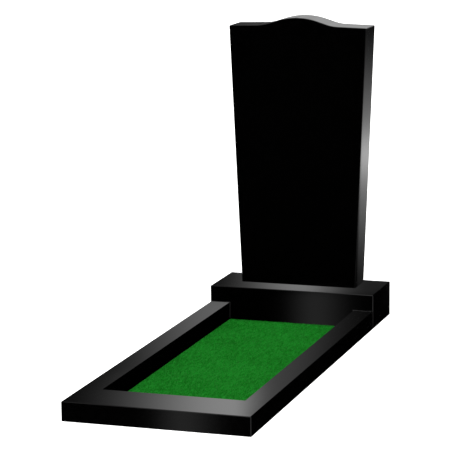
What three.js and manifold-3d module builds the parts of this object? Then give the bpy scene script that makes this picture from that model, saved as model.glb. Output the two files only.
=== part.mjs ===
// A polished black granite headstone on a plinth, with a kerbed bed of short turf in front of it.
// Millimetres. X runs across the grave, Y from the foot of the bed to the headstone, Z up.
// The origin is at ground level, under the middle of the whole set.
import * as THREE from 'three';
import { mergeVertices } from 'three/addons/utils/BufferGeometryUtils.js';
import Module from 'manifold-3d';

const wasm = await Module();
wasm.setup();

// Driving dimensions
const SET_WIDTH = 600; // across the plinth and the kerb, which are flush
const BED_LENGTH = 1400; // from the kerb's front face to the plinth
const JOINT = 0.3; // hairline joint between neighbouring stones
const ARRIS = 2; // eased edge of every stone, measured on each face

const plinth = { depth: 240, height: 120 };

const kerb = {
  height: 62,
  sideWidth: 72, // the two long side stones
  frontWidth: 165, // the wider stone at the foot of the bed
};

const headstone = {
  bottomWidth: 420, // the sides lean out from here
  topWidth: 500, // across the shoulders
  height: 955, // plinth to the crown of the crest
  thickness: 120,
  setback: 90, // ledge left on the plinth in front of the headstone
  crownRadius: 245, // convex middle of the crest
  flankAngle: THREE.MathUtils.degToRad(17.5), // steepest slope of the crest
  flankRun: 32, // straight stretch between the convex and the hollow arc, measured along X
  hollowRadius: 153, // hollow arc that leads out to the shoulder
  shoulderAngle: THREE.MathUtils.degToRad(1.5), // slight fall of the shoulders
};

const turf = { height: 5, clearance: 0.5 };

// Places worked out from the driving dimensions
const setLength = BED_LENGTH + plinth.depth;
const side = SET_WIDTH / 2;
const kerbFront = -setLength / 2;
const kerbFrontBack = kerbFront + kerb.frontWidth;
const plinthFront = kerbFront + BED_LENGTH;
const plinthBack = plinthFront + plinth.depth;
const bedHalfWidth = side - kerb.sideWidth;

const CREST_SEGMENTS = 18; // facets of each arc of the crest
const CUTTER_OVERRUN = 1; // how far an edge cutter runs past a free end

// A closed geometry as a solid that can be joined and cut
function toSolid(geometry) {
  const bare = geometry.clone();
  bare.deleteAttribute('normal');
  bare.deleteAttribute('uv');
  const welded = mergeVertices(bare);
  return new wasm.Manifold(new wasm.Mesh({
    numProp: 3,
    vertProperties: new Float32Array(welded.attributes.position.array),
    triVerts: new Uint32Array(welded.index.array),
  }));
}

// A solid back as a flat-shaded geometry
function toGeometry(solid) {
  const { vertProperties, triVerts } = solid.getMesh();
  const indexed = new THREE.BufferGeometry();
  indexed.setAttribute('position', new THREE.BufferAttribute(new Float32Array(vertProperties), 3));
  indexed.setIndex(new THREE.BufferAttribute(new Uint32Array(triVerts), 1));
  const geometry = indexed.toNonIndexed();
  geometry.computeVertexNormals();
  return geometry;
}

// A square bar turned on its corner along the edge from start to end, both THREE.Vector3.
// Taking it away eases that edge by ARRIS on each face.
function edgeCutter(start, end) {
  const along = end.clone().sub(start);
  const bar = new THREE.BoxGeometry(ARRIS * Math.SQRT2, ARRIS * Math.SQRT2, along.length());
  bar.rotateZ(Math.PI / 4);
  const turn = new THREE.Quaternion().setFromUnitVectors(new THREE.Vector3(0, 0, 1), along.normalize());
  bar.applyQuaternion(turn);
  const middle = start.clone().add(end).multiplyScalar(0.5);
  bar.translate(middle.x, middle.y, middle.z);
  return toSolid(bar);
}

// A sawn block between two corners, with the listed edges eased
function easedBlock(low, high, edges) {
  const size = high.clone().sub(low);
  const box = new THREE.BoxGeometry(size.x, size.y, size.z);
  const middle = low.clone().add(high).multiplyScalar(0.5);
  box.translate(middle.x, middle.y, middle.z);
  const eased = edges.reduce((solid, [start, end]) => solid.subtract(edgeCutter(start, end)), toSolid(box));
  return toGeometry(eased);
}

// The front outline of the headstone: X across, Y up, with its foot on Y = 0.
// Each half of the crest is a convex arc, a straight flank, a hollow arc and a shoulder, all tangent.
function headstoneOutline() {
  const { crownRadius, flankAngle, flankRun, hollowRadius, shoulderAngle, height } = headstone;
  const foot = headstone.bottomWidth / 2;
  const shoulder = headstone.topWidth / 2;
  const crownEnd = {
    x: crownRadius * Math.sin(flankAngle),
    y: height - crownRadius * (1 - Math.cos(flankAngle)),
  };
  const flankEnd = {
    x: crownEnd.x + flankRun,
    y: crownEnd.y - flankRun * Math.tan(flankAngle),
  };
  const hollowCentre = {
    x: flankEnd.x + hollowRadius * Math.sin(flankAngle),
    y: flankEnd.y + hollowRadius * Math.cos(flankAngle),
  };
  const hollowEnd = {
    x: hollowCentre.x - hollowRadius * Math.sin(shoulderAngle),
    y: hollowCentre.y - hollowRadius * Math.cos(shoulderAngle),
  };
  const shoulderHeight = hollowEnd.y - (shoulder - hollowEnd.x) * Math.tan(shoulderAngle);
  const lean = (shoulder - foot) / shoulderHeight;
  const up = Math.PI / 2;
  const down = -Math.PI / 2;

  const outline = new THREE.Shape();
  outline.moveTo(-foot, 0);
  outline.lineTo(foot, 0);
  outline.lineTo(shoulder - ARRIS * lean, shoulderHeight - ARRIS);
  outline.lineTo(shoulder - ARRIS, shoulderHeight + ARRIS * Math.tan(shoulderAngle));
  outline.lineTo(hollowEnd.x, hollowEnd.y);
  outline.absarc(
    hollowCentre.x, hollowCentre.y, hollowRadius, down - shoulderAngle, down - flankAngle, true,
  );
  outline.lineTo(crownEnd.x, crownEnd.y);
  outline.absarc(0, height - crownRadius, crownRadius, up - flankAngle, up + flankAngle, false);
  outline.lineTo(-flankEnd.x, flankEnd.y);
  outline.absarc(
    -hollowCentre.x, hollowCentre.y, hollowRadius, down + flankAngle, down + shoulderAngle, true,
  );
  outline.lineTo(-shoulder + ARRIS, shoulderHeight + ARRIS * Math.tan(shoulderAngle));
  outline.lineTo(-shoulder + ARRIS * lean, shoulderHeight - ARRIS);
  outline.closePath();
  return outline;
}

// The headstone: its outline through the thickness, with the front and back edges eased
function headstoneGeometry() {
  const slab = new THREE.ExtrudeGeometry(headstoneOutline(), {
    depth: headstone.thickness - 2 * ARRIS,
    curveSegments: CREST_SEGMENTS,
    bevelEnabled: true,
    bevelThickness: ARRIS,
    bevelSize: ARRIS,
    bevelOffset: -ARRIS,
    bevelSegments: 1,
  });
  slab.rotateX(Math.PI / 2);
  slab.translate(0, headstone.thickness - ARRIS, 0);
  return slab;
}

// The plinth: the full width of the set, eased along its top and down its four corners
function plinthGeometry() {
  const top = plinth.height;
  const corners = [
    [-side, plinthFront],
    [side, plinthFront],
    [side, plinthBack],
    [-side, plinthBack],
  ];
  const edges = corners.flatMap(([x, y], index) => {
    const [nextX, nextY] = corners[(index + 1) % corners.length];
    return [
      [new THREE.Vector3(x, y, top), new THREE.Vector3(nextX, nextY, top)],
      [new THREE.Vector3(x, y, -CUTTER_OVERRUN), new THREE.Vector3(x, y, top)],
    ];
  });
  return easedBlock(
    new THREE.Vector3(-side, plinthFront, 0),
    new THREE.Vector3(side, plinthBack, top),
    edges,
  );
}

// The stone at the foot of the bed. Its back edge is eased only between the side stones,
// which butt against it flush.
function kerbFrontGeometry() {
  const top = kerb.height;
  const ends = [-side, side].flatMap((x) => [
    [new THREE.Vector3(x, kerbFront, top), new THREE.Vector3(x, kerbFrontBack + CUTTER_OVERRUN, top)],
    [new THREE.Vector3(x, kerbFront, -CUTTER_OVERRUN), new THREE.Vector3(x, kerbFront, top)],
  ]);
  const edges = [
    [new THREE.Vector3(-side, kerbFront, top), new THREE.Vector3(side, kerbFront, top)],
    [
      new THREE.Vector3(-bedHalfWidth, kerbFrontBack, top),
      new THREE.Vector3(bedHalfWidth, kerbFrontBack, top),
    ],
    ...ends,
  ];
  return easedBlock(
    new THREE.Vector3(-side, kerbFront, 0),
    new THREE.Vector3(side, kerbFrontBack, top),
    edges,
  );
}

// A side stone of the kerb, from the foot stone to the plinth. hand is -1 on the left, 1 on the right.
// Both long top edges are eased, and so is the upright outer edge beside the plinth's eased corner.
function kerbSideGeometry(hand) {
  const top = kerb.height;
  const start = kerbFrontBack + JOINT;
  const end = plinthFront - JOINT;
  const outer = hand * side;
  const inner = hand * bedHalfWidth;
  const longEdges = [outer, inner].map((x) => [
    new THREE.Vector3(x, start - CUTTER_OVERRUN, top),
    new THREE.Vector3(x, end + CUTTER_OVERRUN, top),
  ]);
  const endEdge = [
    new THREE.Vector3(outer, end, -CUTTER_OVERRUN),
    new THREE.Vector3(outer, end, top + CUTTER_OVERRUN),
  ];
  return easedBlock(
    new THREE.Vector3(Math.min(outer, inner), start, 0),
    new THREE.Vector3(Math.max(outer, inner), end, top),
    [...longEdges, endEdge],
  );
}

// The turf: a thin mat on the ground that fills the bed between the stones
function turfGeometry() {
  const width = 2 * (bedHalfWidth - turf.clearance);
  const front = kerbFrontBack + turf.clearance;
  const back = plinthFront - turf.clearance;
  const mat = new THREE.BoxGeometry(width, back - front, turf.height);
  mat.translate(0, (front + back) / 2, turf.height / 2);
  return mat;
}

// Every stone is the same polished black granite, with a material object of its own
function granite() {
  return new THREE.MeshStandardMaterial({ color: 0x08080a, roughness: 0.08, metalness: 0 });
}

function turfGreen() {
  return new THREE.MeshStandardMaterial({ color: 0x197021, roughness: 0.95, metalness: 0 });
}

function part(name, geometry, material) {
  const mesh = new THREE.Mesh(geometry, material);
  mesh.name = name;
  return mesh;
}

const monument = new THREE.Group();

const stele = part('headstone', headstoneGeometry(), granite());
stele.position.set(0, plinthFront + headstone.setback, plinth.height + JOINT);

monument.add(
  stele,
  part('plinth', plinthGeometry(), granite()),
  part('kerb_front', kerbFrontGeometry(), granite()),
  part('kerb_left', kerbSideGeometry(-1), granite()),
  part('kerb_right', kerbSideGeometry(1), granite()),
  part('turf', turfGeometry(), turfGreen()),
);

export default monument;
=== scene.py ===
"""Dresses and lights a polished black granite headstone on a plinth, with a kerbed bed of turf.

Everything is in metres. X runs across the grave, Y from the foot of the bed to the headstone, Z up.
"""
import logging
import math
from dataclasses import dataclass
from enum import Enum

import bpy
import numpy as np
from mathutils import Matrix, Vector


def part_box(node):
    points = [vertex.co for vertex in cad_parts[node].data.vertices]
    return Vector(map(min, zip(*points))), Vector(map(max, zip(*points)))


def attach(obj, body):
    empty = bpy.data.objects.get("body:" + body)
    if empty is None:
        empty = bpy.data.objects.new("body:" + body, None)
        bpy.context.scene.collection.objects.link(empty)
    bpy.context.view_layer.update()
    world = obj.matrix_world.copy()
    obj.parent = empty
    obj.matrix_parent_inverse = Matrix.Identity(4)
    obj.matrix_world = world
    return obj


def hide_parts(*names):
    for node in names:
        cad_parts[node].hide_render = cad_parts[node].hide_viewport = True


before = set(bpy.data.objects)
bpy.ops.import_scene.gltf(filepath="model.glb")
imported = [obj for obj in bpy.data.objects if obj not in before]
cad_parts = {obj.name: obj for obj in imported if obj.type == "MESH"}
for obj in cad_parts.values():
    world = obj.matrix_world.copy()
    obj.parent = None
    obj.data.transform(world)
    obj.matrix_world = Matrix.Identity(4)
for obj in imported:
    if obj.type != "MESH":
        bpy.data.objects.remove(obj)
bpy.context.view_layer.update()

SHARP_ANGLE = math.radians(35)
QUARTER_TURN = math.pi / 2
log = logging.getLogger("headstone")

Socket = bpy.types.NodeSocket
Triple = tuple[float, float, float]
Colour = tuple[float, float, float, float]


class Slot(Enum):
    """Names of the two material slots; no piece is given them here."""

    GRANITE = "black_granite"
    TURF = "green_turf"


class Hand(Enum):
    """A side of the bed, seen by someone who faces the headstone, as its direction along X."""

    LEFT = -1
    RIGHT = 1


class Edge(Enum):
    """How the light of a patch falls off, as the power of the distance from its middle."""

    SOFT = 2
    FIRM = 4
    CRISP = 12


class Mixed(Enum):
    """What a Mix node blends, with the places of its two inputs and of its result."""

    LEVELS = ("FLOAT", 2, 3, 0)
    COLOURS = ("RGBA", 6, 7, 2)


class Wiring:
    """Adds nodes to one shader tree and joins them up."""

    def __init__(self, tree: bpy.types.NodeTree) -> None:
        """Empties the tree.

        Args:
            tree: The node tree of a material or of the world.
        """
        self.tree = tree
        self.tree.nodes.clear()

    def node(self, kind: str, **settings: object) -> bpy.types.Node:
        """Adds a node.

        Args:
            kind: Blender's name of the node type.
            **settings: Properties of the node.

        Returns:
            The new node.
        """
        made = self.tree.nodes.new(kind)
        for name, value in settings.items():
            setattr(made, name, value)
        return made

    def feed(self, socket: Socket, source: object) -> None:
        """Links an output to a socket, or sets the socket to a plain value.

        Args:
            socket: The input to fill.
            source: An output socket, a number or a tuple.
        """
        if isinstance(source, Socket):
            self.tree.links.new(source, socket)
        else:
            socket.default_value = source

    def fill(self, made: bpy.types.Node, sources: dict[str, object]) -> bpy.types.Node:
        """Feeds several inputs of a node.

        Args:
            made: The node.
            sources: What each input gets, by the input's name.

        Returns:
            The same node.
        """
        for name, source in sources.items():
            self.feed(made.inputs[name], source)
        return made

    def math(self, operation: str, *sources: object) -> Socket:
        """Adds a Math node.

        Args:
            operation: Blender's name of the operation.
            *sources: Its inputs in order.

        Returns:
            Its output.
        """
        made = self.node("ShaderNodeMath", operation=operation)
        for socket, source in zip(made.inputs, sources):
            self.feed(socket, source)
        return made.outputs["Value"]

    def vector_math(self, operation: str, first: object, second: object) -> Socket:
        """Adds a Vector Math node.

        Args:
            operation: Blender's name of the operation.
            first: The first vector.
            second: The second vector.

        Returns:
            Its output.
        """
        made = self.node("ShaderNodeVectorMath", operation=operation)
        for socket, source in zip(made.inputs, (first, second)):
            self.feed(socket, source)
        return made.outputs["Vector"]

    def rotate(
        self, vector: Socket, kind: str, angle: float, centre: Triple = (0.0, 0.0, 0.0)
    ) -> Socket:
        """Adds a Vector Rotate node.

        Args:
            vector: The vector to turn.
            kind: Blender's name of the rotation.
            angle: How far it turns.
            centre: The point that stays.

        Returns:
            The turned vector.
        """
        made = self.node("ShaderNodeVectorRotate", rotation_type=kind)
        self.fill(made, {"Vector": vector, "Center": centre, "Angle": angle})
        return made.outputs["Vector"]

    def parts(self, vector: Socket) -> tuple[Socket, Socket, Socket]:
        """Splits a vector.

        Args:
            vector: The vector.

        Returns:
            Its X, Y and Z.
        """
        made = self.fill(self.node("ShaderNodeSeparateXYZ"), {"Vector": vector})
        return made.outputs["X"], made.outputs["Y"], made.outputs["Z"]

    def ramp(self, source: object, low: float, high: float, start: object, end: object) -> Socket:
        """Adds a smooth step from one value to another.

        Args:
            source: The value that is read.
            low: Where the step starts.
            high: Where it ends.
            start: The result at and below low.
            end: The result at and above high.

        Returns:
            The output of the step.
        """
        made = self.node("ShaderNodeMapRange", interpolation_type="SMOOTHSTEP")
        self.fill(made, {
            "Value": source, "From Min": low, "From Max": high, "To Min": start, "To Max": end,
        })
        return made.outputs["Result"]

    def blend(
        self, factor: object, first: object, second: object, mixed: Mixed = Mixed.COLOURS
    ) -> Socket:
        """Adds a mix of two colours or of two levels.

        Args:
            factor: Share of the second one.
            first: The first one.
            second: The second one.
            mixed: What is blended.

        Returns:
            The blended colour or level.
        """
        kind, first_place, second_place, result = mixed.value
        made = self.node("ShaderNodeMix", data_type=kind)
        for place, source in ((0, factor), (first_place, first), (second_place, second)):
            self.feed(made.inputs[place], source)
        return made.outputs[result]

    def texture(self, kind: str, place: Socket, scale: float, **inputs: float) -> bpy.types.Node:
        """Adds a texture node.

        Args:
            kind: Blender's name of the node type.
            place: The coordinates it reads.
            scale: Its cells or waves in a unit of those coordinates.
            **inputs: Values of further inputs.

        Returns:
            The texture node.
        """
        return self.fill(self.node(kind), {"Vector": place, "Scale": scale, **inputs})


def grey(level: float) -> Colour:
    """Gives a neutral colour of one level, as linear RGBA."""
    return (level, level, level, 1.0)


def new_material(name: str) -> tuple[bpy.types.Material, Wiring, bpy.types.Node]:
    """Starts a material with a Principled shader.

    Args:
        name: Its name.

    Returns:
        The material, the wiring of its tree and the shader node.
    """
    material = bpy.data.materials.new(name)
    material.use_nodes = True
    wiring = Wiring(material.node_tree)
    shader = wiring.node("ShaderNodeBsdfPrincipled")
    wiring.fill(wiring.node("ShaderNodeOutputMaterial"), {"Surface": shader.outputs["BSDF"]})
    return material, wiring, shader


@dataclass(frozen=True)
class PolishedGranite:
    """Mirror polished, near black granite with very fine dark grey grains."""

    ground_grey: float = 0.0001
    grain_grey: float = 0.0012
    grains_per_metre: float = 620.0
    grain_start: float = 0.45  # share of the grains that stay as dark as the ground
    spark_grey: float = 0.005
    sparks_per_metre: float = 240.0
    spark_core: float = 0.10  # a spark is brightest up to here, as a share of its cell
    spark_rim: float = 0.22  # and has faded out here
    drifts_per_metre: float = 9.0
    drift_detail: float = 3.0
    drift_roughness: float = 0.55
    roughness_low: float = 0.012
    roughness_high: float = 0.028
    waves_per_metre: float = 26.0
    wave_detail: float = 1.0
    wave_depth: float = 0.000002  # keeps the mirrored lights from being ruler straight
    index: float = 1.5

    def material(self) -> bpy.types.Material:
        """Builds the material.

        Returns:
            The granite.
        """
        material, wiring, shader = new_material("polished black granite")
        place = wiring.node("ShaderNodeTexCoord").outputs["Object"]
        grains = wiring.texture("ShaderNodeTexVoronoi", place, self.grains_per_metre)
        grain = wiring.node("ShaderNodeSeparateColor")
        wiring.fill(grain, {"Color": grains.outputs["Color"]})
        share = wiring.ramp(grain.outputs["Red"], self.grain_start, 1.0, 0.0, 1.0)
        tone = wiring.blend(share, grey(self.ground_grey), grey(self.grain_grey))
        sparks = wiring.texture("ShaderNodeTexVoronoi", place, self.sparks_per_metre)
        spark = wiring.ramp(sparks.outputs["Distance"], self.spark_core, self.spark_rim, 1.0, 0.0)
        drift = wiring.texture(
            "ShaderNodeTexNoise", place, self.drifts_per_metre,
            Detail=self.drift_detail, Roughness=self.drift_roughness,
        )
        spark = wiring.math("MULTIPLY", spark, drift.outputs["Fac"])
        polish = wiring.ramp(
            grain.outputs["Green"], 0.0, 1.0, self.roughness_low, self.roughness_high
        )
        wave = wiring.texture(
            "ShaderNodeTexNoise", place, self.waves_per_metre, Detail=self.wave_detail
        )
        bump = wiring.node("ShaderNodeBump")
        wiring.fill(bump, {"Distance": self.wave_depth, "Height": wave.outputs["Fac"]})
        wiring.fill(shader, {
            "Base Color": wiring.blend(spark, tone, grey(self.spark_grey)),
            "Roughness": polish,
            "Normal": bump.outputs["Normal"],
            "IOR": self.index,
        })
        return material


@dataclass(frozen=True)
class Mottle:
    """Soft noise that lightens and darkens a tone."""

    per_metre: float
    detail: float
    low: float  # noise at and below which the tone is darkest
    high: float  # noise at and above which it is lightest
    contrast: float

    def wire(self, wiring: Wiring, place: Socket) -> Socket:
        """Adds the nodes of the noise.

        Args:
            wiring: The material's wiring.
            place: The coordinates that it reads.

        Returns:
            The change of tone, between minus and plus the contrast.
        """
        noise = wiring.texture("ShaderNodeTexNoise", place, self.per_metre, Detail=self.detail)
        return wiring.ramp(
            noise.outputs["Fac"], self.low, self.high, -self.contrast, self.contrast
        )


@dataclass(frozen=True)
class TurfPile:
    """Short dense green pile, with painted shade that darkens it towards its roots, and a little
    uneven in tone.
    """

    # Painted shade: the colour of the backing and the roots, darker where the blades would shade
    # them
    painted_root_shade: Colour = (0.002, 0.140, 0.005, 1.0)
    dark: Colour = (0.003, 0.240, 0.009, 1.0)
    light: Colour = (0.026, 0.490, 0.046, 1.0)
    clumps: Mottle = Mottle(150.0, 2.0, 0.35, 0.65, 0.5)
    clump_stretch: Triple = (1.0, 0.25, 1.0)  # clumps are longer along the bed
    drifts: Mottle = Mottle(3.5, 1.0, 0.3, 0.7, 0.22)
    roughness: float = 0.9
    sheen: float = 0.05
    specular: float = 0.1

    def material(self) -> bpy.types.Material:
        """Builds the material, which reads the blade tone and rise kept on the mesh.

        Returns:
            The pile.
        """
        material, wiring, shader = new_material("green turf pile")
        tone = wiring.node("ShaderNodeAttribute", attribute_name=TurfBed.TONE).outputs["Fac"]
        rise = wiring.node("ShaderNodeAttribute", attribute_name=TurfBed.RISE).outputs["Fac"]
        place = wiring.node("ShaderNodeTexCoord").outputs["Object"]
        stretched = wiring.vector_math("MULTIPLY", place, self.clump_stretch)
        tone = wiring.math("ADD", tone, self.clumps.wire(wiring, stretched))
        tone = wiring.math("ADD", tone, self.drifts.wire(wiring, place))
        blade = wiring.blend(wiring.ramp(tone, 0.0, 1.0, 0.0, 1.0), self.dark, self.light)
        # Painted shade: where the rise is low, on the backing and the roots, the dark root colour
        # is blended in
        wiring.fill(shader, {
            "Base Color": wiring.blend(rise, self.painted_root_shade, blade),
            "Roughness": self.roughness,
            "Sheen Weight": self.sheen,
            "Specular IOR Level": self.specular,
        })
        return material


def add_object(name: str, vertices: list, faces: list) -> bpy.types.Object:
    """Makes an object with a mesh and links it to the scene.

    Args:
        name: The name of both.
        vertices: The places of the vertices.
        faces: The vertices of each face.

    Returns:
        The object.
    """
    mesh = bpy.data.meshes.new(name)
    mesh.from_pydata(vertices, [], faces)
    piece = bpy.data.objects.new(name, mesh)
    bpy.context.scene.collection.objects.link(piece)
    return piece


def finish_piece(piece: bpy.types.Object, material: bpy.types.Material) -> None:
    """Gives a piece its material, and keeps it out of the polish of the stones.

    Args:
        piece: The piece.
        material: Its material.
    """
    piece.data.materials.clear()
    piece.data.materials.append(material)
    piece.visible_glossy = False


def shade_evenly(stone: bpy.types.Object) -> None:
    """Smooths the shading of rounded edges and keeps it even on the flat faces between them.

    Args:
        stone: The stone.
    """
    stone.data.shade_smooth()
    stone.data.set_sharp_from_angle(angle=SHARP_ANGLE)
    stone.modifiers.new("even shading", "WEIGHTED_NORMAL").keep_sharp = True


def quarter_round(radius: float, steps: int) -> list[tuple[float, float]]:
    """Walks along the quarter circle that rounds off a square corner.

    Args:
        radius: Its radius.
        steps: How many chords it has.

    Returns:
        Pairs of distances from the corner's two sides, from (radius, 0) to (0, radius).
    """
    angles = [QUARTER_TURN * step / steps for step in range(steps + 1)]
    return [(radius * (1 - math.sin(angle)), radius * (1 - math.cos(angle))) for angle in angles]


@dataclass
class Headstone:
    """The upright slab, tapered towards its foot, with a wave shaped crest."""

    low: Vector
    high: Vector
    foot_width: float = 0.420
    crown_radius: float = 0.245
    flank_angle: float = math.radians(17.5)
    flank_run: float = 0.032  # along X
    hollow_radius: float = 0.153
    shoulder_angle: float = math.radians(1.5)
    corner_radius: float = 0.0026  # between a side and its shoulder
    arris: float = 0.002
    arris_steps: int = 4
    chord: float = 0.002  # longest chord of an arc
    least_chords: int = 3

    def arc(self, centre: Vector, radius: float, start: float, end: float) -> list[Vector]:
        """Walks along an arc.

        Args:
            centre: Its centre, in the plane of the front.
            radius: Its radius.
            start: Angle of the first point, from the X axis.
            end: Angle of the last point.

        Returns:
            Points from start to end, both included.
        """
        steps = max(self.least_chords, math.ceil(abs(end - start) * radius / self.chord))
        angles = (start + (end - start) * step / steps for step in range(steps + 1))
        return [centre + radius * Vector((math.cos(angle), math.sin(angle))) for angle in angles]

    def right_half(self) -> list[Vector]:
        """Works out the right half of the outline, from the foot up to the crown.

        Returns:
            Points in the plane of the front, measured from the middle of the foot.
        """
        up, down = QUARTER_TURN, -QUARTER_TURN
        height = self.high.z - self.low.z
        shoulder = self.high.x
        foot = self.foot_width / 2
        crown_centre = Vector((0.0, height - self.crown_radius))
        crown = self.arc(crown_centre, self.crown_radius, up - self.flank_angle, up)
        slope = Vector((math.cos(self.flank_angle), -math.sin(self.flank_angle)))
        outward = Vector((math.sin(self.flank_angle), math.cos(self.flank_angle)))
        flank_start = crown_centre + self.crown_radius * outward
        flank_end = flank_start + slope * (self.flank_run / slope.x)
        hollow_centre = flank_end + self.hollow_radius * outward
        hollow = self.arc(
            hollow_centre, self.hollow_radius, down - self.shoulder_angle, down - self.flank_angle
        )
        fall = math.tan(self.shoulder_angle)
        shoulder_height = hollow[0].y - (shoulder - hollow[0].x) * fall
        lean = math.atan2(shoulder - foot, shoulder_height)
        reach = self.corner_radius * math.tan((up - self.shoulder_angle + lean) / 2)
        side_end = Vector((
            shoulder - reach * math.sin(lean), shoulder_height - reach * math.cos(lean)
        ))
        corner_centre = side_end + self.corner_radius * Vector((-math.cos(lean), math.sin(lean)))
        corner = self.arc(corner_centre, self.corner_radius, -lean, up - self.shoulder_angle)
        return [Vector((foot, 0.0)), *corner, *hollow, *crown]

    def outline(self) -> list[Vector]:
        """Closes the outline.

        Returns:
            The whole outline, counter-clockwise as seen from the front.
        """
        half = self.right_half()
        mirrored = [Vector((-point.x, point.y)) for point in reversed(half[:-1])]
        return half + mirrored

    def inset(self, points: list[Vector], depth: float) -> list[Vector]:
        """Moves an outline inwards.

        Args:
            points: The closed outline, counter-clockwise.
            depth: How far each side moves.

        Returns:
            The moved points, in the same order.
        """
        moved = []
        for index, point in enumerate(points):
            before = (point - points[index - 1]).normalized()
            after = (points[(index + 1) % len(points)] - point).normalized()
            first = Vector((-before.y, before.x))
            second = Vector((-after.y, after.x))
            moved.append(point + (first + second) * (depth / (1 + first.dot(second))))
        return moved

    def build(self, granite: bpy.types.Material) -> bpy.types.Object:
        """Builds the slab with rounded arrises.

        Args:
            granite: Its material.

        Returns:
            The headstone.
        """
        rounding = quarter_round(self.arris, self.arris_steps)
        rings = [(inward, self.low.y + back) for inward, back in rounding]
        rings += [(inward, self.high.y - fore) for inward, fore in reversed(rounding)]
        points = self.outline()
        vertices = [
            (point.x, y, self.low.z + point.y)
            for inward, y in rings
            for point in self.inset(points, inward)
        ]
        count = len(points)
        last = count * (len(rings) - 1)
        faces = [tuple(range(count)), tuple(range(last + count - 1, last - 1, -1))]
        for near in range(0, last, count):
            far = near + count
            for index in range(count):
                after = (index + 1) % count
                faces.append((near + index, far + index, far + after, near + after))
        slab = add_object("headstone_slab", vertices, faces)
        shade_evenly(slab)
        finish_piece(slab, granite)
        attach(slab, "root")
        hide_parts("headstone")
        return slab


@dataclass
class KerbedBase:
    """The plinth and the kerb, which keep their sawn shape and get a polished finish."""

    stones: tuple[str, ...] = ("plinth", "kerb_front", "kerb_left", "kerb_right")

    def dress(self, granite: bpy.types.Material) -> list[bpy.types.Object]:
        """Polishes the stones.

        Args:
            granite: Their material.

        Returns:
            The stones.
        """
        polished = [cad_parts[name] for name in self.stones]
        for stone in polished:
            finish_piece(stone, granite)
        return polished


@dataclass
class JointBeads:
    """Thin hollow beads of black stone adhesive, where the kerb's side stones meet the plinth."""

    radius: float = 0.0022
    steps: int = 4
    sink: float = 0.0006  # how far the hidden back of the bead runs into the stones

    def section(self) -> list[tuple[float, float]]:
        """Works out the bead's section in the corner.

        Returns:
            Pairs of the distance from the kerb stone and the distance from the plinth.
        """
        hollow = [(away, out) for out, away in quarter_round(self.radius, self.steps)]
        sunk = -self.sink / 2
        return [(-self.sink, sunk), (-self.sink, self.radius), *hollow, (self.radius, sunk)]

    def build(self, hand: Hand, granite: bpy.types.Material) -> bpy.types.Object:
        """Builds the bead of one side stone, up its inner wall and out along its top.

        Args:
            hand: The side of the bed.
            granite: The material, which the adhesive matches.

        Returns:
            The bead.
        """
        side = hand.name.lower()
        low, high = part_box(f"kerb_{side}")
        plinth_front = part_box("plinth")[0].y
        turf_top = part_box("turf")[1].z
        inner, outer = sorted((abs(low.x), abs(high.x)))
        rows = []
        for away, out in self.section():
            route = (
                (inner - away, turf_top),
                (inner - away, high.z + away),
                (outer - 2 * self.radius, high.z + away),
            )
            rows.append([(hand.value * x, plinth_front - out, z) for x, z in route])
        vertices = [point for row in rows for point in row]
        stops = len(rows[0])
        faces = []
        for near in range(0, len(vertices), stops):
            far = (near + stops) % len(vertices)
            faces += [
                (near + step, far + step, far + step + 1, near + step + 1)
                for step in range(stops - 1)
            ]
        foot, end = (tuple(range(start, len(vertices), stops)) for start in (0, stops - 1))
        faces += [foot, end[::-1]]
        if hand is Hand.LEFT:
            faces = [face[::-1] for face in faces]
        bead = add_object(f"joint_bead_{side}", vertices, faces)
        shade_evenly(bead)
        finish_piece(bead, granite)
        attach(bead, "root")
        return bead


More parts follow.
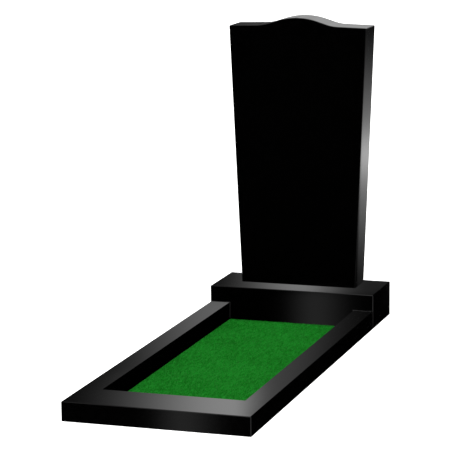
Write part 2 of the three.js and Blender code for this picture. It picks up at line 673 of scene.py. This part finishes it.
@dataclass
class TurfBed:
    """The mat of short turf inside the kerb: a backing with upright blades."""

    TONE = "blade_tone"
    RISE = "blade_rise"

    low: Vector
    high: Vector
    backing: float = 0.0012
    backing_cells: tuple[int, int] = (24, 64)
    backing_tone: float = 0.5
    reach: float = 0.0004  # how far the backing runs past the solid mat, towards the stones
    ripple: float = 0.12  # as a share of the backing's thickness
    ripple_turns: tuple[float, float] = (61.0, 47.0)  # radians in a metre along X and along Y
    margin: float = 0.0022  # strip without roots along the mat's edges
    spacing: float = 0.0031
    blade_sides: int = 3
    blade_radius: float = 0.0011
    blade_height: float = 0.0034
    blade_spread: float = 0.0007
    root_level: float = 0.8  # height of the roots, as a share of the backing's thickness
    # The rise blends in the painted root shade: fully on the backing, mostly on the roots
    root_rise: float = 0.25  # rise that is kept on the roots, where that of a tip is 1
    lean: float = 0.0014
    least_lean: float = 0.2  # as a share of the lean
    seed: int = 11

    def backing_mesh(self) -> tuple[np.ndarray, np.ndarray]:
        """Makes the closed backing, gently uneven on top.

        Returns:
            Its vertices and its faces of four corners.
        """
        columns, rows = self.backing_cells
        xs = np.linspace(self.low.x - self.reach, self.high.x + self.reach, columns + 1)
        ys = np.linspace(self.low.y - self.reach, self.high.y + self.reach, rows + 1)
        grid_x, grid_y = np.meshgrid(xs, ys)
        across, along = self.ripple_turns
        swell = self.ripple * np.sin(grid_x * across) * np.cos(grid_y * along)
        height = self.low.z + self.backing * (1 + swell)
        top = np.stack([grid_x, grid_y, height], axis=-1).reshape(-1, 3)
        bottom = top.copy()
        bottom[:, 2] = self.low.z
        place = np.arange(len(top)).reshape(rows + 1, columns + 1)
        cells = [place[:-1, :-1], place[:-1, 1:], place[1:, 1:], place[1:, :-1]]
        quads = np.stack(cells, axis=-1).reshape(-1, 4)
        rim = np.concatenate([place[0, :], place[1:, -1], place[-1, -2::-1], place[-2:0:-1, 0]])
        following = np.roll(rim, -1)
        offset = len(top)
        skirt = np.stack([rim + offset, following + offset, following, rim], axis=-1)
        faces = np.concatenate([quads, quads[:, ::-1] + offset, skirt])
        return np.concatenate([top, bottom]), faces

    def blades(self) -> tuple[np.ndarray, np.ndarray, np.ndarray]:
        """Makes the blades, each a leaning spike.

        Returns:
            Their vertices, their triangles and the tone of each blade.
        """
        random = np.random.default_rng(self.seed)
        low_x, high_x = self.low.x + self.margin, self.high.x - self.margin
        low_y, high_y = self.low.y + self.margin, self.high.y - self.margin
        columns = int((high_x - low_x) / self.spacing)
        rows = int((high_y - low_y) / self.spacing)
        grid_x, grid_y = np.meshgrid(np.arange(columns) + 0.5, np.arange(rows) + 0.5)
        count = columns * rows
        jitter = random.uniform(-0.5, 0.5, (2, count))
        root_x = low_x + (grid_x.ravel() + jitter[0]) * (high_x - low_x) / columns
        root_y = low_y + (grid_y.ravel() + jitter[1]) * (high_y - low_y) / rows
        turn = random.uniform(0, 2 * math.pi, count)
        lean_turn = random.uniform(0, 2 * math.pi, count)
        lean = random.uniform(self.least_lean, 1.0, count) * self.lean
        height = self.blade_height - random.uniform(0, self.blade_spread, count)
        corner = np.arange(self.blade_sides)
        angles = turn[:, None] + (corner * 2 * math.pi / self.blade_sides)[None, :]
        root = np.stack([
            root_x[:, None] + self.blade_radius * np.cos(angles),
            root_y[:, None] + self.blade_radius * np.sin(angles),
            np.full(angles.shape, self.low.z + self.backing * self.root_level),
        ], axis=-1)
        tip = np.stack([
            root_x + lean * np.cos(lean_turn),
            root_y + lean * np.sin(lean_turn),
            self.low.z + self.backing + height,
        ], axis=-1)
        vertices = np.concatenate([root, tip[:, None, :]], axis=1).reshape(-1, 3)
        top = np.full_like(corner, self.blade_sides)
        spike = np.stack([corner, np.roll(corner, -1), top], axis=-1)
        starts = np.arange(count)[:, None, None] * (self.blade_sides + 1)
        triangles = (starts + spike[None]).reshape(-1, 3)
        return vertices, triangles, random.uniform(0, 1, count)

    def build(self, pile: bpy.types.Material) -> bpy.types.Object:
        """Builds the mat and keeps the tone and the rise of each blade on it.

        Args:
            pile: Its material.

        Returns:
            The turf.
        """
        base, quads = self.backing_mesh()
        spikes, triangles, tones = self.blades()
        vertices = np.concatenate([base, spikes])
        faces = quads.tolist() + (triangles + len(base)).tolist()
        mat = add_object("turf_mat", vertices.tolist(), faces)
        spike_tone = np.repeat(tones, self.blade_sides + 1)
        spike_rise = np.tile([self.root_rise] * self.blade_sides + [1.0], len(tones))
        # The backing has no rise and the roots little, so both take the painted root shade
        kept = {
            self.TONE: np.concatenate([np.full(len(base), self.backing_tone), spike_tone]),
            self.RISE: np.concatenate([np.zeros(len(base)), spike_rise]),
        }
        for name, values in kept.items():
            attribute = mat.data.attributes.new(name, "FLOAT", "POINT")
            attribute.data.foreach_set("value", values.astype(np.float32))
        finish_piece(mat, pile)
        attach(mat, "root")
        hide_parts("turf")
        return mat


@dataclass(frozen=True)
class LightPatch:
    """A patch of light, or of shade, in the studio. Its place, widths and turn are in degrees."""

    FALL = -0.5  # exponent of a bell curve, one width away from its middle

    azimuth: float
    elevation: float
    left: float
    right: float
    down: float
    up: float
    strength: float = 1.0
    turn: float = 0.0
    across: Edge = Edge.SOFT
    along: Edge = Edge.SOFT

    @staticmethod
    def distance(
        wiring: Wiring, offset: Socket, before: float, after: float, edge: Edge
    ) -> Socket:
        """Adds the nodes that measure the distance from the middle along one axis.

        Args:
            wiring: The world's wiring.
            offset: The way from the middle.
            before: The patch's width below zero.
            after: Its width above zero.
            edge: How its light falls off.

        Returns:
            The distance in widths, raised to the edge's power.
        """
        widths = wiring.math(
            "MAXIMUM",
            wiring.math("MULTIPLY", offset, 1 / after),
            wiring.math("MULTIPLY", offset, -1 / before),
        )
        return wiring.math("POWER", widths, float(edge.value))

    def wire(self, wiring: Wiring, sky: Socket) -> Socket:
        """Adds the nodes that work out how bright the patch is in one direction.

        Args:
            wiring: The world's wiring.
            sky: The direction, as azimuth and elevation in X and Y.

        Returns:
            The brightness.
        """
        centre = (self.azimuth, self.elevation, 0.0)
        turned = wiring.rotate(sky, "Z_AXIS", math.radians(-self.turn), centre)
        x, y, _ = wiring.parts(wiring.vector_math("SUBTRACT", turned, centre))
        across = self.distance(wiring, x, self.left, self.right, self.across)
        along = self.distance(wiring, y, self.down, self.up, self.along)
        fall = wiring.math("MULTIPLY", wiring.math("ADD", across, along), self.FALL)
        return wiring.math("MULTIPLY", wiring.math("EXPONENT", fall), self.strength)


@dataclass
class Studio:
    """A white studio: floor, overhead light, and the lights that the polished faces mirror."""

    floor_size: float = 30.0
    floor_grey: float = 0.8
    floor_glow: float = 0.85
    ambient: float = 0.5
    overhead: float = 3.4
    overhead_angle: float = math.radians(12)
    band_scale: Triple = (5.0, 12.0, 2.6)  # how fast the noise of the bands changes along X, Y, Z
    band_lean: float = math.radians(18)
    band_low: float = 0.42  # noise at which a band starts
    band_high: float = 0.74  # noise at which it is brightest
    band_above: float = 1.5  # brightness high up
    band_below: float = 0.32  # brightness low down
    horizon: float = 10.0  # degrees above and below the level over which the bands brighten
    gloom: float = 0.015  # brightness between the bands
    # Azimuth, elevation, widths to the left, to the right, down and up, and strength
    lights: tuple[LightPatch, ...] = (
        # On the foot stone's top
        LightPatch(-18.4, 17.0, 1.52, 0.43, 2.1, 3.0, 0.93, along=Edge.CRISP),
        # On the tops of the left and of the right side stone
        LightPatch(-18.45, 13.9, 1.45, 0.3, 1.15, 0.9, 0.40, along=Edge.CRISP),
        LightPatch(-17.6, 14.2, 0.3, 1.15, 1.4, 1.5, 0.19, along=Edge.CRISP),
        # On the plinth's ledge
        LightPatch(-16.55, 12.1, 0.88, 0.60, 1.2, 0.62, 0.54, along=Edge.CRISP),
        LightPatch(-14.9, 12.1, 0.9, 0.9, 1.2, 0.62, 0.04, across=Edge.CRISP, along=Edge.CRISP),
        # On the crest: its right half and right shoulder, its middle, its left half, left shoulder
        LightPatch(
            -13.1, 9.7, 5.7, 6.5, 1.9, 1.6, 0.56, turn=49.6, across=Edge.CRISP, along=Edge.FIRM
        ),
        LightPatch(-9.65, 13.7, 4.2, 3.0, 1.9, 1.6, 0.28, turn=49.6, along=Edge.FIRM),
        LightPatch(-16.6, 4.8, 0.9, 0.9, 1.2, 1.2, 0.12, across=Edge.CRISP, along=Edge.FIRM),
        LightPatch(-16.9, 1.5, 0.97, 1.6, 6.0, 2.9, 0.46, across=Edge.CRISP, along=Edge.CRISP),
        LightPatch(-18.3, 2.6, 0.9, 0.42, 4.5, 3.2, 0.06, across=Edge.CRISP, along=Edge.CRISP),
        # On the right side of the headstone
        LightPatch(14.0, -10.4, 3.0, 0.35, 0.42, 0.42, 0.70, turn=-5.0, across=Edge.CRISP),
        LightPatch(14.0, -10.4, 3.0, 0.35, 1.33, 1.25, 0.70, turn=-5.0, across=Edge.CRISP),
        # On the fronts of the plinth and of the foot stone
        LightPatch(-163.8, -13.25, 0.50, 0.40, 0.8, 0.6, 0.38, along=Edge.CRISP),
        LightPatch(-160.3, -16.2, 0.53, 0.43, 0.8, 0.8, 0.37, along=Edge.CRISP),
        # Along the upright arrises, and along those between a front and a top
        LightPatch(106.0, -15.0, 5.0, 5.0, 4.0, 2.3, 0.36, across=Edge.FIRM, along=Edge.CRISP),
        LightPatch(-128.0, 66.0, 14.0, 14.0, 8.0, 5.5, 0.30, across=Edge.FIRM, along=Edge.CRISP),
    )
    # Directions that the bands leave dark
    shades: tuple[LightPatch, ...] = (
        LightPatch(-161.4, -11.0, 6.5, 6.5, 7.5, 7.5, across=Edge.CRISP, along=Edge.CRISP),
        LightPatch(17.5, -11.0, 6.5, 6.5, 7.5, 7.5, across=Edge.CRISP, along=Edge.CRISP),
        LightPatch(-16.0, 7.0, 11.5, 11.5, 13.5, 13.5, across=Edge.CRISP, along=Edge.CRISP),
        LightPatch(15.0, 16.5, 11.0, 11.0, 12.0, 12.0, across=Edge.CRISP, along=Edge.CRISP),
    )

    def mirrored_light(self, wiring: Wiring) -> Socket:
        """Works out what a polished face mirrors in each direction.

        Args:
            wiring: The world's wiring.

        Returns:
            The brightness.
        """
        direction = wiring.node("ShaderNodeTexCoord").outputs["Generated"]
        x, y, z = wiring.parts(direction)
        azimuth = wiring.math("DEGREES", wiring.math("ARCTAN2", x, y))
        elevation = wiring.math("DEGREES", wiring.math("ARCSINE", z))
        combined = wiring.node("ShaderNodeCombineXYZ")
        sky = wiring.fill(combined, {"X": azimuth, "Y": elevation}).outputs["Vector"]
        leaning = wiring.rotate(direction, "Y_AXIS", self.band_lean)
        stretched = wiring.vector_math("MULTIPLY", leaning, self.band_scale)
        bands = wiring.texture("ShaderNodeTexNoise", stretched, 1.0, Detail=0.0).outputs["Fac"]
        bright = wiring.ramp(
            elevation, -self.horizon, self.horizon, self.band_below, self.band_above
        )
        total = wiring.ramp(bands, self.band_low, self.band_high, self.gloom, bright)
        for shade in self.shades:
            passed = wiring.math("SUBTRACT", 1.0, shade.wire(wiring, sky))
            total = wiring.math("MULTIPLY", total, passed)
        for light in self.lights:
            total = wiring.math("ADD", total, light.wire(wiring, sky))
        return total

    def build_world(self) -> None:
        """Makes the world: white to the camera, lights in the polish, an even fill elsewhere."""
        world = bpy.data.worlds.new("white studio")
        world.use_nodes = True
        wiring = Wiring(world.node_tree)
        rays = wiring.node("ShaderNodeLightPath").outputs
        mirrored = self.mirrored_light(wiring)
        seen = wiring.blend(rays["Is Glossy Ray"], self.ambient, mirrored, Mixed.LEVELS)
        level = wiring.blend(rays["Is Camera Ray"], seen, 1.0, Mixed.LEVELS)
        background = wiring.node("ShaderNodeBackground")
        wiring.fill(background, {"Strength": level, "Color": grey(1.0)})
        output = wiring.node("ShaderNodeOutputWorld")
        wiring.fill(output, {"Surface": background.outputs["Background"]})
        world.cycles.sampling_method = "NONE"
        bpy.context.scene.world = world

    def build_floor(self) -> None:
        """Lays a plain white floor."""
        half = self.floor_size / 2
        corners = [(-half, -half, 0), (half, -half, 0), (half, half, 0), (-half, half, 0)]
        floor = add_object("floor", corners, [(0, 1, 2, 3)])
        material, wiring, shader = new_material("white floor")
        wiring.fill(shader, {
            "Base Color": grey(self.floor_grey),
            "Roughness": 1.0,
            "Specular IOR Level": 0.0,
            "Emission Color": grey(1.0),
            "Emission Strength": self.floor_glow,
        })
        finish_piece(floor, material)

    def build_overhead(self) -> None:
        """Hangs a soft light straight above, which the polish doesn't mirror."""
        lamp = bpy.data.lights.new("overhead", "SUN")
        lamp.energy = self.overhead
        lamp.angle = self.overhead_angle
        light = bpy.data.objects.new("overhead", lamp)
        light.visible_glossy = False
        bpy.context.scene.collection.objects.link(light)

    def build(self) -> None:
        """Builds the floor, the light and the world."""
        bpy.context.scene.view_settings.view_transform = "Standard"
        self.build_floor()
        self.build_overhead()
        self.build_world()
        log.info("studio: %d mirrored lights", len(self.lights))


@dataclass(frozen=True)
class Viewpoint:
    """The camera, a long lens from the front right and a little above."""

    place: Triple = (2.2487, -6.8577, 1.8592)
    yaw: float = math.radians(18.52)
    pitch: float = math.radians(10.94)
    roll: float = math.radians(-0.6)
    lens: float = 180.0
    sensor: float = 36.0
    sight: float = 100.0  # the farthest that it sees

    def build(self) -> bpy.types.Object:
        """Sets up the camera.

        Returns:
            The camera.
        """
        level = math.cos(self.pitch)
        forward = Vector((
            -math.sin(self.yaw) * level, math.cos(self.yaw) * level, -math.sin(self.pitch)
        ))
        right = Vector((math.cos(self.yaw), math.sin(self.yaw), 0.0))
        up = right.cross(forward)
        facing = Matrix((right, up, -forward)).transposed() @ Matrix.Rotation(self.roll, 3, "Z")
        data = bpy.data.cameras.new("camera")
        data.lens = self.lens
        data.sensor_width = self.sensor
        data.clip_end = self.sight
        camera = bpy.data.objects.new("camera", data)
        camera.matrix_world = Matrix.Translation(self.place) @ facing.to_4x4()
        bpy.context.scene.collection.objects.link(camera)
        return camera


def main() -> None:
    """Builds the camera, the studio and every piece in order, and reports each piece."""
    logging.basicConfig(level=logging.INFO, format="%(name)s: %(message)s")
    bpy.context.scene.camera = Viewpoint().build()
    Studio().build()
    granite = PolishedGranite().material()
    pieces = [Headstone(*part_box("headstone")).build(granite)]
    pieces += KerbedBase().dress(granite)
    pieces += [JointBeads().build(hand, granite) for hand in Hand]
    pieces.append(TurfBed(*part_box("turf")).build(TurfPile().material()))
    for piece in pieces:
        material = piece.active_material.name
        log.info("%s: %d faces of %s", piece.name, len(piece.data.polygons), material)


if __name__ == "__main__":
    main()
